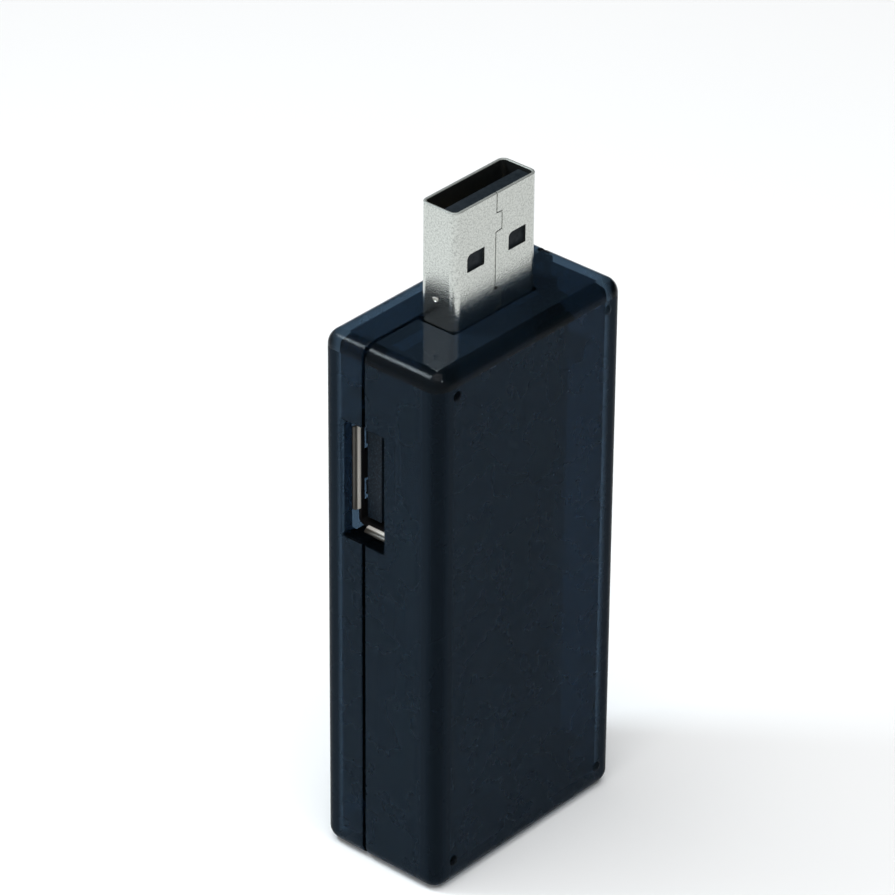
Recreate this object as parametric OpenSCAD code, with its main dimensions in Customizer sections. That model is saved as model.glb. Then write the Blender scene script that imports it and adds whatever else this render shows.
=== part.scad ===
// USB power meter: a moulded case in two halves, a USB-A plug on top, a USB-A socket
// in one narrow side, a small display and a reset button on the front.
// +X is the socket side, -Y the display face, +Y the plain back, +Z points along the plug.
// The origin is the middle of the underside, at the base the case stands on.

/* [Case] */
// Width of the case, from one narrow side to the other
case_w = 27.4; // [27.2:0.1:29]
// Depth of the case, from the display face to the plain back
case_d = 15.2; // [15.2:0.1:17]
// Height of the case without the plug
case_h = 59.6; // [59:0.1:64]
// Radius of the rounded outer edges
edge_r = 1.7; // [1.5:0.1:2.2]
// Thickness of the moulded walls
wall = 1.4; // [1.3:0.05:1.5]
// Distance of the parting plane in front of the case's middle plane
split_depth = 2.1; // [2.05:0.05:2.3]

/* [USB plug] */
// Width of the plug's metal shell
plug_w = 12; // [11.9:0.05:12.1]
// Thickness of the plug's metal shell
plug_t = 4.5; // [4.4:0.05:4.6]
// Length of the whole shell
plug_len = 18.75; // [18:0.25:19]
// Length that stands out of the case
plug_proud = 13; // [12:0.25:13.5]

/* [USB socket] */
// Height of the socket's middle below the top of the case
socket_drop = 15.6; // [15.4:0.1:16]
// Width inside the socket's metal shell
socket_w = 12.5; // [12.4:0.05:12.6]
// Thickness inside the socket's metal shell
socket_t = 5.1; // [5:0.02:5.12]
// Length of the socket's metal shell
socket_len = 13.9; // [13:0.1:14]

/* [Display] */
// Width of the window that shows through the front cover
window_w = 17.4; // [15:0.1:17.6]
// Height of the window that shows through the front cover
window_h = 24.6; // [20:0.1:24.8]
// Height of the display's middle above the base
display_z = 20.8; // [20.6:0.1:21]

/* [Reset button] */
// Diameter of the button's face
button_dia = 3.6; // [3:0.1:4]
// Distance of the button from the middle, away from the socket
button_x = 7.2; // [7:0.1:7.6]

/* [Circuit board] */
// Thickness of the board
board_t = 1.2; // [1:0.1:1.2]
// Width of the board
board_w = 23.6; // [23:0.1:24]

/* [Hidden] */
$fn = 48;

eps = 0.01;
split_y = -split_depth;
inner_x = case_w / 2 - wall;
front_y = -case_d / 2;
rear_y = case_d / 2;
inner_front = front_y + wall;
inner_rear = rear_y - wall;
groove = 0.4;          // width of the line between the covers
groove_deep = 0.35;

// the lip of the front cover and the step in the rear cover that takes it
lip_out = 0.75;
lip_in = 1.3;
lip_len = 0.95;
step_out = 0.7;
step_len = 1;
snap_len = 5;
snap_proud = 0.2;
snap_y = split_y + 0.55;
snap_z = [[1, 12], [1, 30], [-1, 12], [-1, 44]];

// board: its front face carries the socket and the display
board_front = 0.65;
board_rear = board_front + board_t;
board_low = 2.4;
board_top = case_h - 6;
pin_x = 9.9;
pin_z = 4.4;
pin_dia = 1.4;

// plug
sheet = 0.3;
plug_r = 0.8;
plug_y = board_front - 0.15;
plug_tip = case_h + plug_proud;
plug_foot = plug_tip - plug_len;
window_x = 3;
hole_w = 2.5;
hole_h = 1.9;
hole_z = case_h + plug_proud * 6.95 / 13;
contact_x = [-3.5, -1, 1, 3.5];
contact_w = 1;
contact_t = 0.25;
seam_w = 0.08;
seam = [[0, 13.1], [0, 10.85], [-0.76, 10.8], [-0.76, 8.87], [0.1, 8.76], [0.15, 2.7],
    [-0.66, 2.4], [-0.66, 0.5], [0.15, 0.3], [0.15, -5.8]];
seam_hole_d = 0.42;
dimple_z = case_h + 3.1;
leg_w = 2.3;
leg_len = 3.2;

// socket
socket_z = case_h - socket_drop;
socket_y = board_front - 0.04 - sheet - socket_t / 2;
mouth_x = inner_x - 0.5;
socket_rear = mouth_x - socket_len;
lip_deep = 0.8;        // depth of the flared lips at the mouth
lip_flare = 0.32;
side_lip = 9.5;        // length of the two long lips
end_lip = 3;           // length of the two short lips
tongue_t = 1.84;
tongue_gap = 0.65;
tongue_w = 11.1;
tongue_x = mouth_x - 1;
tongue_front = socket_y - socket_t / 2 + tongue_gap;
tongue_rear = tongue_front + tongue_t;
spring_z = 2.9;
spring_w = 1.6;
slot_w = 2.6;
slot_from = mouth_x - 1.3;
slot_len = 6.5;
socket_leg_x = [mouth_x - 3.8, mouth_x - 9.4];
socket_tail_x = socket_rear - 1.2;
opening_w = 13.1;      // opening in the case, along Z
opening_t = 5.7;       // and across

// display
glass_t = 0.7;
film_t = 0.15;
glass_w = 22;
glass_h = 28.8;
view_h = 23.2;
guide_w = 19.2;
guide_t = 2;
film_y = inner_front + 0.1;
glass_y = film_y + film_t;
rear_glass_y = glass_y + glass_t;
rear_film_y = rear_glass_y + glass_t;
guide_y = rear_film_y + film_t;
tray_y = guide_y + guide_t + 0.05;
tray_t = 0.6;
frame_w = 24;
frame_h = 30.4;
lens_t = 0.9;
lens_rim = 0.8;
lens_gap = 0.05;
window_r = 0.8;
zebra_t = 1.7;
led_z = [-5, 4.5];

// button and switch
button_z = socket_z;
button_proud = 0.3;
button_gap = 0.2;
flange_dia = button_dia + 1.6;
flange_t = 0.85;
stem_dia = 2.6;
switch_w = 4.5;
switch_h = 1.7;
switch_y = board_front - switch_h;
plate_t = 0.2;
plunger_dia = 2;
plunger_top = switch_y - plate_t - 1.55;
dome_y = board_front - 0.55;

// nubs on the back
nub_x = 11.06;
nub_r = 0.654;
nub_proud = 0.3;
nub_top = 2.67;
nub_low = 3;

module rounded_rect(w, h, r) {
    square([w - 2 * r, h], center = true);
    square([w, h - 2 * r], center = true);
    for (x = [-1, 1], y = [-1, 1])
        translate([x * (w / 2 - r), y * (h / 2 - r)]) circle(r);
}

// A box from one corner to the opposite one
module block(low, high) {
    translate(low) cube(high - low);
}

// A cylinder along Y
module round_y(dia, from, to, x, z) {
    translate([x, from, z]) rotate([-90, 0, 0]) cylinder(d = dia, h = to - from);
}

// The form of the case, moved in from its outside by inset
module case_form(inset) {
    w = case_w - 2 * inset;
    d = case_d - 2 * inset;
    h = case_h - 2 * inset;
    r = max(edge_r - inset, 0.3);
    translate([0, 0, case_h / 2]) intersection() {
        translate([0, 0, -h / 2]) linear_extrude(h) rounded_rect(w, d, r);
        rotate([90, 0, 0]) translate([0, 0, -d / 2]) linear_extrude(d) rounded_rect(w, h, r);
        rotate([90, 0, 90]) translate([0, 0, -w / 2]) linear_extrude(w) rounded_rect(d, h, r);
    }
}

// Everything between two depths
module slab(from, to) {
    block([-case_w, from, -1], [case_w, to, case_h + 1]);
}

module case_shell() {
    difference() {
        case_form(0);
        case_form(wall);
    }
}

module parting_groove() {
    difference() {
        slab(split_y - groove / 2, split_y + groove / 2);
        case_form(groove_deep);
    }
}

module socket_opening() {
    block([mouth_x, socket_y - opening_t / 2, socket_z - opening_w / 2],
        [case_w, socket_y + opening_t / 2, socket_z + opening_w / 2]);
}

// Raised rim round the socket's opening, on the inside of the wall
module socket_rim() {
    rim_w = 0.7;
    rim_t = 0.3;
    block([inner_x - rim_t, socket_y - opening_t / 2 - rim_w, socket_z - opening_w / 2 - rim_w],
        [inner_x + eps, socket_y + opening_t / 2 + rim_w, socket_z + opening_w / 2 + rim_w]);
}

module snaps(proud, len, thick) {
    for (s = snap_z)
        translate([s[0] * (case_w / 2 - lip_out), snap_y, s[1]])
            cube([2 * proud, thick, len], center = true);
}

// FRONT COVER
module front_posts() {
    for (x = [-1, 1]) {
        translate([x * 10.4, (inner_front + board_front) / 2 - eps, case_h - 5.5])
            cube([2.6, board_front - inner_front + 2 * eps, 4], center = true);
        difference() {
            translate([x * 10.2, (inner_front + board_front) / 2 - eps, 3.7])
                cube([3, board_front - inner_front + 2 * eps, 3], center = true);
            round_y(pin_dia + 0.2, board_front - 1.2, board_front + 1, x * pin_x, pin_z);
        }
    }
}

module front_cover() {
    color([0.13, 0.16, 0.2]) difference() {
        union() {
            intersection() {
                case_shell();
                slab(front_y - 1, split_y);
            }
            difference() {
                case_form(lip_out);
                case_form(lip_in);
                slab(front_y, split_y - 0.3);
                slab(split_y + lip_len, rear_y);
                // the lip stops clear of the plug and of the socket
                block([-plug_w / 2 - 0.5, split_y, case_h - 5], [plug_w / 2 + 0.5, rear_y, case_h]);
            }
            front_posts();
            intersection() {
                snaps(snap_proud, snap_len, 0.35);
                case_form(0.4);
            }
            intersection() {
                socket_rim();
                slab(front_y, split_y);
            }
        }
        parting_groove();
        socket_opening();
        // window, and the step that its pane sits in
        rounded_pane(window_w, window_h, front_y - 1, 2 * wall + 1, window_r);
        rounded_pane(window_w + 2 * (lens_rim + lens_gap), window_h + 2 * (lens_rim + lens_gap),
            front_y - 1, 1 + lens_gap + lens_t, window_r + lens_rim + lens_gap);
        round_y(button_dia + 2 * button_gap, front_y - 1, inner_front + 1, -button_x, button_z);
    }
}

// REAR COVER
module rear_posts() {
    for (x = [-1, 1]) {
        round_y(3, board_rear, inner_rear + eps, x * pin_x, pin_z);
        round_y(pin_dia, board_front - 1, board_rear + eps, x * pin_x, pin_z);
        round_y(2.6, board_rear, inner_rear + eps, x * pin_x, board_top - 1.6);
    }
}

module nubs() {
    for (x = [-1, 1], z = [nub_low, case_h - nub_top])
        translate([x * nub_x, rear_y + nub_proud - nub_r, z]) sphere(nub_r);
}

module rear_cover() {
    color([0.1, 0.13, 0.17]) difference() {
        union() {
            difference() {
                intersection() {
                    case_shell();
                    slab(split_y, rear_y + 1);
                }
                intersection() {
                    case_form(step_out);
                    slab(split_y - 1, split_y + step_len);
                }
                snaps(snap_proud + 0.1, snap_len + 0.4, 0.5);
            }
            rear_posts();
            nubs();
            intersection() {
                socket_rim();
                slab(split_y + step_len, rear_y);
            }
        }
        parting_groove();
        socket_opening();
        block([-plug_w / 2 - 0.15, split_y - 1, case_h - 3], [plug_w / 2 + 0.15, plug_y + plug_t / 2 + 0.1, case_h + 1]);
    }
}

// DISPLAY
module pane(w, h, from, thick) {
    block([-w / 2, from, display_z - h / 2], [w / 2, from + thick, display_z + h / 2]);
}

module rounded_pane(w, h, from, thick, r) {
    translate([0, from + thick, display_z]) rotate([90, 0, 0]) linear_extrude(thick) rounded_rect(w, h, r);
}

module display_window() {
    color([0.4, 0.46, 0.52, 0.5])
        rounded_pane(window_w + 2 * lens_rim, window_h + 2 * lens_rim, front_y + lens_gap, lens_t,
            window_r + lens_rim);
}

module front_polariser() {
    color([0.3, 0.33, 0.34]) pane(guide_w, view_h + 1, film_y, film_t);
}

module front_glass() {
    color([0.7, 0.8, 0.8, 0.5]) pane(glass_w, glass_h, glass_y, glass_t);
}

module rear_glass() {
    color([0.7, 0.8, 0.8, 0.5]) pane(glass_w, view_h, rear_glass_y, glass_t);
}

module rear_polariser() {
    color([0.3, 0.33, 0.34]) pane(guide_w, view_h, rear_film_y, film_t);
}

module light_guide() {
    color([0.9, 0.92, 0.95]) pane(guide_w, view_h, guide_y, guide_t);
}

module backlight_leds() {
    led_x = guide_w / 2 + 0.05;
    color([0.95, 0.95, 0.8]) for (dz = led_z) {
        block([led_x, guide_y + 0.3, display_z + dz - 1.4], [led_x + 0.9, guide_y + 1.6, display_z + dz + 1.4]);
        for (s = [-1, 1])
            block([led_x + 0.3, guide_y + 1.6 - eps, display_z + dz + s * 0.9 - 0.2],
                [led_x + 0.6, board_front, display_z + dz + s * 0.9 + 0.2]);
    }
}

module display_frame() {
    in_w = glass_w + 0.1;
    in_h = glass_h + 0.1;
    rib = view_h / 2 + 0.1;
    color([0.12, 0.12, 0.12]) {
        difference() {
            pane(frame_w, frame_h, film_y, board_front - film_y);
            pane(in_w, in_h, film_y - 1, board_front - film_y + 2);
        }
        for (s = [-1, 1])
            translate([0, (rear_film_y + board_front) / 2, display_z + s * (rib + 0.35)])
                cube([in_w + 2 * eps, board_front - rear_film_y, 0.7], center = true);
        pane(guide_w, view_h + 0.2 + 2 * eps, tray_y, tray_t);
    }
}

module zebra_strips() {
    far = glass_h / 2 - 0.15;
    color([0.75, 0.45, 0.5]) for (s = [-1, 1])
        translate([0, (rear_glass_y + board_front) / 2, display_z + s * (far - zebra_t / 2)])
            cube([guide_w - 0.4, board_front - rear_glass_y, zebra_t], center = true);
}

// CIRCUIT BOARD
module circuit_board() {
    leg_x = plug_w / 2 - sheet / 2;
    color([0.05, 0.2, 0.12]) difference() {
        block([-board_w / 2, board_front, board_low], [board_w / 2, board_rear, board_top]);
        for (x = [-1, 1]) {
            round_y(pin_dia + 0.2, 0, 3, x * pin_x, pin_z);
            block([x * leg_x - 0.35, 0, plug_foot - leg_len - 0.2], [x * leg_x + 0.35, 3, case_h]);
        }
        for (x = socket_leg_x, s = [-1, 1])
            translate([x, board_front, socket_z + s * (socket_w + sheet) / 2]) cube([2, 4, 0.7], center = true);
        for (dz = contact_x) round_y(0.9, 0, 3, socket_tail_x, socket_z + dz);
        // room for the flared lip of the socket at the board's edge
        block([mouth_x - lip_deep - 0.1, 0, socket_z - side_lip / 2 - 0.4],
            [board_w, 3, socket_z + side_lip / 2 + 0.4]);
    }
}

// USB PLUG
module tube_z(w, t, r, from, to) {
    translate([0, plug_y, from]) linear_extrude(to - from) rounded_rect(w, t, r);
}

// A thin cut that follows a row of points, across the plug's rear face
module seam_cut() {
    for (i = [0 : len(seam) - 2]) {
        run = seam[i + 1] - seam[i];
        translate([seam[i][0], plug_y + plug_t / 2, case_h + seam[i][1]])
            rotate([0, -atan2(run[1], run[0]), 0])
                translate([-seam_w / 2, -2 * sheet, -seam_w / 2]) cube([norm(run) + seam_w, 4 * sheet, seam_w]);
    }
}

module plug_shell() {
    color([0.8, 0.82, 0.8]) difference() {
        union() {
            tube_z(plug_w, plug_t, plug_r, plug_foot, plug_tip);
            for (x = [-1, 1])
                translate([x * (plug_w - sheet) / 2, plug_y + 0.75, plug_foot - leg_len / 2 + eps])
                    cube([sheet, leg_w, leg_len], center = true);
        }
        tube_z(plug_w - 2 * sheet, plug_t - 2 * sheet, plug_r - sheet, plug_foot - 0.001, plug_tip + 1);
        for (x = [-1, 1])
            translate([x * window_x, plug_y, hole_z]) cube([hole_w, 2 * plug_t, hole_h], center = true);
        seam_cut();
        round_y(seam_hole_d, plug_y + 1, plug_y + plug_t, 0.05, case_h + 2.64);
        for (x = [-1, 1])
            translate([x * plug_w / 2, plug_y - 0.2, dimple_z]) rotate([0, 90, 0])
                cylinder(d = 0.8, h = 0.3, center = true);
    }
}

module plug_insulator() {
    fit = 0.05;
    rear_block = 4.6;
    low_y = plug_y - plug_t / 2 + sheet + fit;
    high_y = plug_y + plug_t / 2 - sheet - fit;
    half_w = plug_w / 2 - sheet - fit;
    tongue_face = board_front - 0.1;
    color([0.1, 0.1, 0.12]) difference() {
        intersection() {
            tube_z(plug_w - 2 * sheet - 2 * fit, plug_t - 2 * sheet - 2 * fit, plug_r - sheet, plug_foot, plug_tip);
            union() {
                block([-half_w, low_y, plug_foot], [half_w, high_y, plug_foot + rear_block]);
                block([-half_w, tongue_face, plug_foot], [half_w, high_y, plug_tip - 0.45]);
            }
        }
        for (x = contact_x)
            block([x - contact_w / 2 - 0.05, board_front - contact_t - 0.02, plug_foot - 1],
                [x + contact_w / 2 + 0.05, board_front + 0.02, plug_tip - 1.4]);
    }
}

module plug_contacts() {
    color([0.85, 0.7, 0.35]) for (x = contact_x)
        block([x - contact_w / 2, board_front - contact_t, plug_foot - 2.6],
            [x + contact_w / 2, board_front, plug_tip - (abs(x) > 2 ? 1.6 : 2.6)]);
}

// USB SOCKET
module tube_x(w, t, from, to) {
    block([from, socket_y - t / 2, socket_z - w / 2], [to, socket_y + t / 2, socket_z + w / 2]);
}

// A flared strip: starts flush with a wall at in_at and bends outwards to the mouth
module flared_lip(len, in_at) {
    translate([mouth_x - lip_deep, 0, -len / 2]) linear_extrude(len)
        polygon([[-0.3, in_at], [0, in_at], [lip_deep, in_at + lip_flare],
            [lip_deep, in_at + lip_flare + sheet * 0.8], [-0.1, in_at + sheet], [-0.3, in_at + sheet]]);
}

module socket_shell() {
    leg_long = 2.6;
    color([0.78, 0.78, 0.75]) {
        difference() {
            tube_x(socket_w + 2 * sheet, socket_t + 2 * sheet, socket_rear, mouth_x - lip_deep);
            tube_x(socket_w, socket_t, socket_rear - 1, mouth_x);
            for (s = [-1, 1])
                block([slot_from - slot_len, socket_y - socket_t, socket_z + s * spring_z - slot_w / 2],
                    [slot_from, socket_y + socket_t, socket_z + s * spring_z + slot_w / 2]);
        }
        // retaining springs, one in each slot
        for (s = [-1, 1], side = [-1, 1])
            translate([slot_from - slot_len / 2 - 0.5, socket_y + side * (socket_t + sheet) / 2, socket_z + s * spring_z])
                cube([slot_len - 0.99, sheet, spring_w], center = true);
        for (side = [-1, 1])
            translate([0, socket_y, socket_z]) mirror([0, side < 0 ? 1 : 0, 0]) flared_lip(side_lip, socket_t / 2);
        for (side = [-1, 1])
            translate([0, socket_y, socket_z]) rotate([90 * side, 0, 0]) flared_lip(end_lip, socket_w / 2);
        for (x = socket_leg_x, s = [-1, 1])
            translate([x, board_front + leg_long / 2 - 0.3, socket_z + s * (socket_w + sheet) / 2])
                cube([1.5, leg_long + 0.6, sheet], center = true);
    }
}

module socket_insulator() {
    fit = 0.05;
    block_len = 3.6;
    color([0.1, 0.1, 0.11]) difference() {
        union() {
            tube_x(socket_w - 2 * fit, socket_t - 2 * fit, socket_rear + 0.2, socket_rear + block_len);
            block([socket_rear + 1, tongue_front, socket_z - tongue_w / 2], [tongue_x, tongue_rear, socket_z + tongue_w / 2]);
        }
        for (dz = contact_x)
            block([socket_rear - 1, tongue_rear - contact_t - 0.02, socket_z + dz - contact_w / 2 - 0.05],
                [tongue_x - 0.6, tongue_rear + 0.07, socket_z + dz + contact_w / 2 + 0.05]);
    }
}

module socket_contacts() {
    color([0.85, 0.7, 0.35]) for (dz = contact_x) {
        block([socket_tail_x - 0.2, tongue_rear - contact_t, socket_z + dz - contact_w / 2],
            [tongue_x - 0.8, tongue_rear, socket_z + dz + contact_w / 2]);
        block([socket_tail_x - 0.2, tongue_rear - eps, socket_z + dz - 0.3],
            [socket_tail_x + 0.2, board_rear + 0.8, socket_z + dz + 0.3]);
    }
}

// RESET BUTTON AND SWITCH
module button_cap() {
    color([0.2, 0.2, 0.22]) translate([-button_x, 0, button_z]) rotate([-90, 0, 0]) rotate_extrude()
        polygon([[0, front_y - button_proud], [button_dia / 2 - 0.35, front_y - button_proud],
            [button_dia / 2, front_y - button_proud + 0.25], [button_dia / 2, inner_front + 0.1],
            [flange_dia / 2, inner_front + 0.1], [flange_dia / 2, inner_front + 0.1 + flange_t],
            [stem_dia / 2, inner_front + 0.1 + flange_t], [stem_dia / 2, plunger_top], [0, plunger_top]]);
}

module switch_body() {
    color([0.1, 0.1, 0.1]) difference() {
        translate([-button_x, (switch_y + board_front) / 2, button_z]) cube([switch_w, switch_h, switch_w], center = true);
        round_y(3.6, switch_y - 1, board_front - 0.25, -button_x, button_z);
    }
}

module switch_plate() {
    color([0.8, 0.8, 0.8]) difference() {
        translate([-button_x, switch_y - plate_t / 2, button_z]) cube([switch_w, plate_t, switch_w], center = true);
        round_y(plunger_dia + 0.2, switch_y - 1, switch_y + 1, -button_x, button_z);
    }
}

module switch_plunger() {
    color([0.15, 0.15, 0.15]) {
        round_y(plunger_dia, plunger_top, dome_y, -button_x, button_z);
        round_y(3.2, switch_y + 0.1, switch_y + 0.6, -button_x, button_z);
    }
}

// Domed contact disc under the plunger
module switch_dome() {
    dome_dia = 3.4;
    rise = 0.3;
    ball = (dome_dia * dome_dia / 4 + rise * rise) / (2 * rise);
    color([0.85, 0.82, 0.7]) intersection() {
        difference() {
            translate([-button_x, dome_y + ball, button_z]) sphere(ball, $fn = 96);
            translate([-button_x, dome_y + ball, button_z]) sphere(ball - 0.08, $fn = 96);
        }
        round_y(dome_dia, dome_y - 0.1, dome_y + rise, -button_x, button_z);
    }
}

module switch_leads() {
    color([0.8, 0.8, 0.8]) for (x = [-1, 1], z = [-1, 1])
        block([-button_x + x * (switch_w / 2 + 0.5) - 0.5, board_front - 0.3, button_z + z * 1.5 - 0.3],
            [-button_x + x * (switch_w / 2 + 0.5) + 0.5, board_front, button_z + z * 1.5 + 0.3]);
}

// COMPONENTS ON THE REAR OF THE BOARD
// Body of a chip standing a little off the board
module chip(w, h, t, x, z) {
    block([x - w / 2, board_rear + 0.1, z - h / 2], [x + w / 2, board_rear + 0.1 + t, z + h / 2]);
}

// Two rows of pins beside a chip, from its middle down to the board
module chip_pins(w, t, count, pitch, x, z) {
    for (i = [0 : count - 1], s = [-1, 1]) {
        at = z + (i - (count - 1) / 2) * pitch;
        mid = board_rear + 0.1 + t / 2;
        block([x + s * (w / 2 + 0.2) - 0.2, board_rear, at - 0.13], [x + s * (w / 2 + 0.2) + 0.2, mid, at + 0.13]);
        block([x + s * (w / 2 + 0.6) - 0.3, board_rear, at - 0.13], [x + s * (w / 2 + 0.6) + 0.3, board_rear + 0.15, at + 0.13]);
    }
}

module leaded_chip(w, h, t, count, pitch, x, z) {
    chip(w, h, t, x, z);
    chip_pins(w, t, count, pitch, x, z);
}

module microcontroller() {
    color([0.12, 0.12, 0.12]) leaded_chip(4.4, 7.8, 1, 12, 0.6, 2, 22);
}

module current_amplifier() {
    color([0.12, 0.12, 0.12]) leaded_chip(3.9, 4.9, 1.4, 4, 1.27, -6.4, 31);
}

module memory_chip() {
    color([0.12, 0.12, 0.12]) leaded_chip(3.9, 4.9, 1.4, 4, 1.27, -6, 15);
}

module voltage_regulator() {
    color([0.12, 0.12, 0.12]) leaded_chip(1.6, 2.9, 1.1, 2, 1.9, 6.5, 33);
}

module shunt_resistor() {
    color([0.15, 0.15, 0.15]) block([-11.2, board_rear, 45], [-4.8, board_rear + 0.6, 48.2]);
}

module crystal() {
    color([0.8, 0.8, 0.78]) block([7, board_rear, 19.5], [9.5, board_rear + 0.8, 22.7]);
}

module tantalum_capacitor() {
    color([0.75, 0.55, 0.15]) block([7, board_rear, 12], [9.8, board_rear + 1.9, 15.5]);
}

// A row of small parts: each is a body between two metal ends
module chip_row(places, w, h, t) {
    for (p = places) block([p[0] - w / 2, board_rear, p[1] - h / 2], [p[0] + w / 2, board_rear + t, p[1] + h / 2]);
}

module ceramic_capacitors() {
    color([0.72, 0.6, 0.45]) chip_row([[7.4, 26], [9.4, 26], [7.8, 29.6], [-2.2, 28], [-1.2, 15]], 1.25, 2, 0.8);
}

module chip_resistors() {
    color([0.15, 0.15, 0.16])
        chip_row([for (i = [0 : 4]) [-9.6 + 1.7 * i, 23.6], for (i = [0 : 3]) [-9.6 + 1.7 * i, 10]], 0.8, 1.6, 0.45);
}

module signal_diodes() {
    color([0.2, 0.2, 0.2]) chip_row([[1.5, 48], [4.5, 48]], 1.7, 2.7, 1.1);
}

front_cover();
rear_cover();
display_window();
front_polariser();
front_glass();
rear_glass();
rear_polariser();
light_guide();
backlight_leds();
display_frame();
zebra_strips();
circuit_board();
plug_shell();
plug_insulator();
plug_contacts();
socket_shell();
socket_insulator();
socket_contacts();
button_cap();
switch_body();
switch_plate();
switch_plunger();
switch_dome();
switch_leads();
microcontroller();
current_amplifier();
memory_chip();
voltage_regulator();
shunt_resistor();
crystal();
tantalum_capacitor();
ceramic_capacitors();
chip_resistors();
signal_diodes();
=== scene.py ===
"""Looks of the USB power meter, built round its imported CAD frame. Lengths are in metres."""

import math

import bmesh
import bpy
from mathutils import Matrix, Vector


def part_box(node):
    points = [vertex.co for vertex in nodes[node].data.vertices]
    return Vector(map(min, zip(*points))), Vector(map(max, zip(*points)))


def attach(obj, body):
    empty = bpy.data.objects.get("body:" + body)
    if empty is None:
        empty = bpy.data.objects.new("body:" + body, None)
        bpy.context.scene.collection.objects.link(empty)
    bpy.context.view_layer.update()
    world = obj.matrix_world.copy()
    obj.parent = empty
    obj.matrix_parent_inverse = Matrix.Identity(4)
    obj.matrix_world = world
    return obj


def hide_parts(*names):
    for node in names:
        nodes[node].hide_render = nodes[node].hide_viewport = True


MM = 0.001
WELD = 1e-7               # points closer than this are one point
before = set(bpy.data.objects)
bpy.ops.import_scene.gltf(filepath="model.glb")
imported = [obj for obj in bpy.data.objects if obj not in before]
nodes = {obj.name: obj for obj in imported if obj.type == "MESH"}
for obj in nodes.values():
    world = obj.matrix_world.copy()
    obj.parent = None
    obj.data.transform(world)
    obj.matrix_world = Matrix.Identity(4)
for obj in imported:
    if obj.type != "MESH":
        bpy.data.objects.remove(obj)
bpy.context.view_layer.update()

# ---------------------------------------------------------------- places from the frame
case_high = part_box("rear_cover")[1]
front_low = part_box("front_cover")[0]
HALF_W = case_high.x
CASE_H = case_high.z
HALF_D = -front_low.y
WALL = 1.4 * MM
FRONT_INSIDE = -HALF_D + WALL
REAR_INSIDE = HALF_D - WALL
EDGE_R = 1.7 * MM
JOINT_Y = -2.1 * MM       # the plane where the two covers meet
GROOVE_HALF = 0.2 * MM
GROOVE_DEEP = 0.35 * MM

plug_low, plug_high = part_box("plug_shell")
PLUG_HALF_W = plug_high.x
PLUG_Y = (plug_low.y + plug_high.y) / 2
PLUG_HALF_T = (plug_high.y - plug_low.y) / 2
PLUG_TIP = plug_high.z
PLUG_FOOT = PLUG_TIP - 18.75 * MM
PLUG_R = 0.8 * MM
SHEET = 0.3 * MM          # metal of the plug's and the socket's shells

tongue_low, tongue_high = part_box("socket_insulator")
socket_low, socket_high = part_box("socket_shell")
MOUTH_X = socket_high.x
SOCKET_REAR = socket_low.x
SOCKET_Y = (tongue_low.y + tongue_high.y) / 2
SOCKET_Z = (tongue_low.z + tongue_high.z) / 2
SOCKET_HALF_T = 2.55 * MM
SOCKET_HALF_W = 6.25 * MM
OPENING_HALF_T = 2.85 * MM
OPENING_HALF_W = 6.55 * MM

cap_low, cap_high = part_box("button_cap")
BUTTON_X = (cap_low.x + cap_high.x) / 2
BUTTON_Z = (cap_low.z + cap_high.z) / 2
BUTTON_R = 1.8 * MM

pane_low, pane_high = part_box("display_window")
film_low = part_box("front_polariser")[0]
board_low, board_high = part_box("circuit_board")
DISPLAY_Z = (pane_low.z + pane_high.z) / 2


# ---------------------------------------------------------------- mesh helpers
def rounded_loop(half_a, half_b, radius, steps=8):
    """Points of a rounded rectangle, anticlockwise, steps + 1 points on each corner."""
    radius = max(min(radius, half_a, half_b), 0.0)
    loop = []
    for quarter, (sa, sb) in enumerate([(1, 1), (-1, 1), (-1, -1), (1, -1)]):
        for i in range(steps + 1):
            angle = (quarter + i / steps) * math.pi / 2
            loop.append((sa * (half_a - radius) + radius * math.cos(angle),
                         sb * (half_b - radius) + radius * math.sin(angle)))
    return loop


def new_object(name, bm):
    """An object from a bmesh, with its normals turned outwards."""
    bmesh.ops.remove_doubles(bm, verts=bm.verts, dist=WELD)
    bmesh.ops.dissolve_degenerate(bm, edges=bm.edges, dist=WELD)
    bmesh.ops.recalc_face_normals(bm, faces=bm.faces)
    mesh = bpy.data.meshes.new(name)
    bm.to_mesh(mesh)
    bm.free()
    made = bpy.data.objects.new(name, mesh)
    bpy.context.scene.collection.objects.link(made)
    return made


def add_loft(bm, loops, closed=False):
    """Quads between loops of the same length; caps on the ends, or a ring if closed."""
    rows = [[bm.verts.new(p) for p in loop] for loop in loops]
    pairs = list(zip(rows, rows[1:])) + ([(rows[-1], rows[0])] if closed else [])
    count = len(rows[0])
    for a, b in pairs:
        for i in range(count):
            k = (i + 1) % count
            bm.faces.new((a[i], a[k], b[k], b[i]))
    if not closed:
        bm.faces.new(rows[0])
        bm.faces.new(rows[-1])


def loft(name, loops, closed=False):
    bm = bmesh.new()
    add_loft(bm, loops, closed)
    return new_object(name, bm)


def on_y(loop, y, cx=0.0, cz=0.0):
    return [Vector((cx + a, y, cz + b)) for a, b in loop]


def on_x(loop, x, cy=0.0, cz=0.0):
    return [Vector((x, cy + a, cz + b)) for a, b in loop]


def on_z(loop, z, cx=0.0, cy=0.0):
    return [Vector((cx + a, cy + b, z)) for a, b in loop]


def block(name, low, high):
    """A plain box, for joining or cutting."""
    bm = bmesh.new()
    bmesh.ops.create_cube(bm, size=1)
    size = Vector(high) - Vector(low)
    middle = (Vector(high) + Vector(low)) / 2
    fit = Matrix.Translation(middle) @ Matrix.Diagonal((*size, 1))
    bmesh.ops.transform(bm, matrix=fit, verts=bm.verts)
    return new_object(name, bm)


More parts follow.
